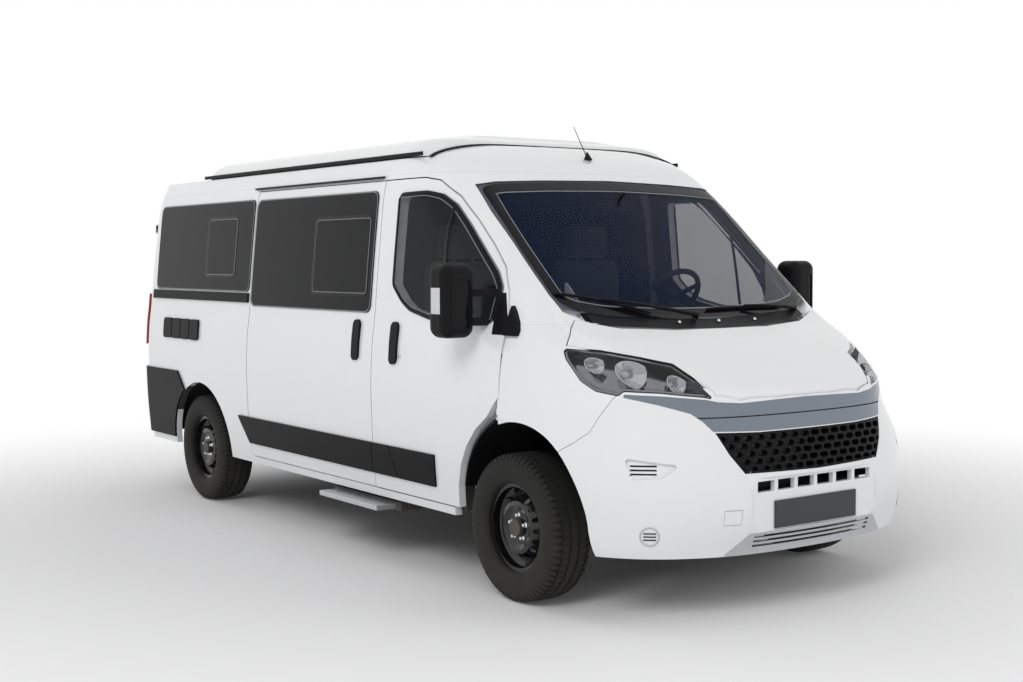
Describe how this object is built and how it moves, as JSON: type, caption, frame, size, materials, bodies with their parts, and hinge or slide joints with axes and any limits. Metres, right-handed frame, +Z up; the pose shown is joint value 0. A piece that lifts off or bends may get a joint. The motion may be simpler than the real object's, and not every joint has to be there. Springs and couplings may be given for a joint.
{
  "type": "camper van",
  "caption": "Low-roof panel van camper with pop-up roof, sliding side door, twin rear doors, steered front wheels and a drawn-out entry step.",
  "frame": {"origin": "ground level under the middle of the overall length, on the centre plane", "axes": "+X forward, +Y to the vehicle's left, +Z up; the ground is z = 0"},
  "size_m": [5.3978, 2.464, 2.2692],
  "materials": {
    "body_white": "gloss white paint",
    "bumper_white": "gloss white painted plastic",
    "door_white": "gloss white paint",
    "chassis_black": "satin black underbody coating",
    "black_plastic": "grained black plastic",
    "silver_trim": "satin silver paint",
    "dark_glass": "dark privacy glass",
    "screen_glass": "tinted laminated glass",
    "door_glass": "lightly tinted glass",
    "lamp_glass": "clear lens",
    "lamp_chrome": "bright reflector",
    "lamp_red": "red lens",
    "tyre_rubber": "dark road tyre",
    "wheel_black": "gloss black steel wheel",
    "knuckle_iron": "bare cast iron",
    "axle_black": "satin black",
    "engine_iron": "bare cast",
    "exhaust_steel": "dull steel",
    "dash_plastic": "soft grained dark grey",
    "seat_fabric": "woven dark grey cloth",
    "tent_canvas": "grey canvas",
    "furniture": "light laminate",
    "step_alu": "anodised",
    "plate_blank": "blank dark plate"
  },
  "bodies": {
    "body": {"underbody": "chassis_black", "cab_frame": "body_white", "side_wall_left": "body_white", "side_wall_right": "body_white", "sliding_door": "door_white", "roof_panel": "body_white", "front_wings": "body_white", "front_bumper": "bumper_white", "rear_bumper": "black_plastic", "windscreen": "screen_glass", "side_glass": "dark_glass", "headlamp_lenses": "lamp_glass", "headlamp_housings": "lamp_chrome", "grille": "black_plastic", "grille_bars": "silver_trim", "number_plates": "plate_blank", "tail_lamps": "lamp_red", "body_trim": "black_plastic", "cowl_panel": "black_plastic", "antenna": "black_plastic", "dashboard": "dash_plastic", "steering_column": "dash_plastic", "seat_cushions": "seat_fabric", "seat_bases": "black_plastic", "kitchen_unit": "furniture", "engine_block": "engine_iron", "front_axle": "axle_black", "rear_axle": "axle_black", "exhaust": "exhaust_steel", "fuel_tank": "black_plastic", "arch_liners": "black_plastic", "roof_tent": "tent_canvas", "step_case": "axle_black", "skid_strip": "silver_trim"},
    "door_left": {"door_left": "door_white", "door_glass_left": "door_glass", "door_trim_left": "black_plastic"},
    "door_right": {"door_right": "door_white", "door_glass_right": "door_glass", "door_trim_right": "black_plastic"},
    "rear_door_left": {"rear_door_left": "door_white", "rear_glass_left": "dark_glass"},
    "rear_door_right": {"rear_door_right": "door_white", "rear_glass_right": "dark_glass"},
    "bonnet": {"bonnet": "body_white"},
    "pop_top": {"pop_top": "body_white", "pop_seal": "black_plastic"},
    "knuckle_left": {"knuckle_left": "knuckle_iron"},
    "knuckle_right": {"knuckle_right": "knuckle_iron"},
    "wheel_front_left": {"rim_front_left": "wheel_black", "tyre_front_left": "tyre_rubber"},
    "wheel_front_right": {"rim_front_right": "wheel_black", "tyre_front_right": "tyre_rubber"},
    "wheel_rear_left": {"rim_rear_left": "wheel_black", "tyre_rear_left": "tyre_rubber"},
    "wheel_rear_right": {"rim_rear_right": "wheel_black", "tyre_rear_right": "tyre_rubber"},
    "steering_wheel": {"steering_wheel": "dash_plastic"},
    "entry_step": {"entry_step": "step_alu"}
  },
  "joints": [
    {"name": "steer_left", "type": "hinge", "parent": "body", "child": "knuckle_left", "pos_m": [1.7585, 0.84, 0.342], "axis": [0, 0, 1], "range_deg": [-33, 33]},
    {"name": "steer_right", "type": "hinge", "parent": "body", "child": "knuckle_right", "pos_m": [1.7585, -0.84, 0.342], "axis": [0, 0, 1], "range_deg": [-33, 33]},
    {"name": "wheel_front_left_roll", "type": "hinge", "parent": "knuckle_left", "child": "wheel_front_left", "pos_m": [1.7585, 0.905, 0.342], "axis": [0, 1, 0], "continuous": true},
    {"name": "wheel_front_right_roll", "type": "hinge", "parent": "knuckle_right", "child": "wheel_front_right", "pos_m": [1.7585, -0.905, 0.342], "axis": [0, 1, 0], "continuous": true},
    {"name": "wheel_rear_left_roll", "type": "hinge", "parent": "body", "child": "wheel_rear_left", "pos_m": [-1.6915, 0.895, 0.342], "axis": [0, 1, 0], "continuous": true},
    {"name": "wheel_rear_right_roll", "type": "hinge", "parent": "body", "child": "wheel_rear_right", "pos_m": [-1.6915, -0.895, 0.342], "axis": [0, 1, 0], "continuous": true},
    {"name": "steering_wheel_turn", "type": "hinge", "parent": "body", "child": "steering_wheel", "pos_m": [1.2385, 0.42, 1.345], "axis": [-0.788, 0, 0.6157], "range_deg": [-528, 528]},
    {"name": "door_left_hinge", "type": "hinge", "parent": "body", "child": "door_left", "pos_m": [1.6335, 0.985, 1], "axis": [0, 0, -1], "range_deg": [0, 70]},
    {"name": "door_right_hinge", "type": "hinge", "parent": "body", "child": "door_right", "pos_m": [1.6335, -0.985, 1], "axis": [0, 0, 1], "range_deg": [0, 70]},
    {"name": "rear_door_left_hinge", "type": "hinge", "parent": "body", "child": "rear_door_left", "pos_m": [-2.6485, 0.896, 1.2], "axis": [0, 0, -1], "range_deg": [0, 96]},
    {"name": "rear_door_right_hinge", "type": "hinge", "parent": "body", "child": "rear_door_right", "pos_m": [-2.6485, -0.896, 1.2], "axis": [0, 0, 1], "range_deg": [0, 96]},
    {"name": "bonnet_hinge", "type": "hinge", "parent": "body", "child": "bonnet", "pos_m": [1.8685, 0, 1.285], "axis": [0, -1, 0], "range_deg": [0, 50]},
    {"name": "pop_top_hinge", "type": "hinge", "parent": "body", "child": "pop_top", "pos_m": [-1.8915, 0, 2.104], "axis": [0, -1, 0], "range_deg": [0, 20]},
    {"name": "entry_step_slide", "type": "slide", "parent": "body", "child": "entry_step", "axis": [0, -1, 0], "range_m": [-0.2, 0]}
  ],
  "couplings": [
    {"joint": "steer_right", "follows": "steer_left", "ratio": 1},
    {"joint": "steering_wheel_turn", "follows": "steer_left", "ratio": 16}
  ]
}
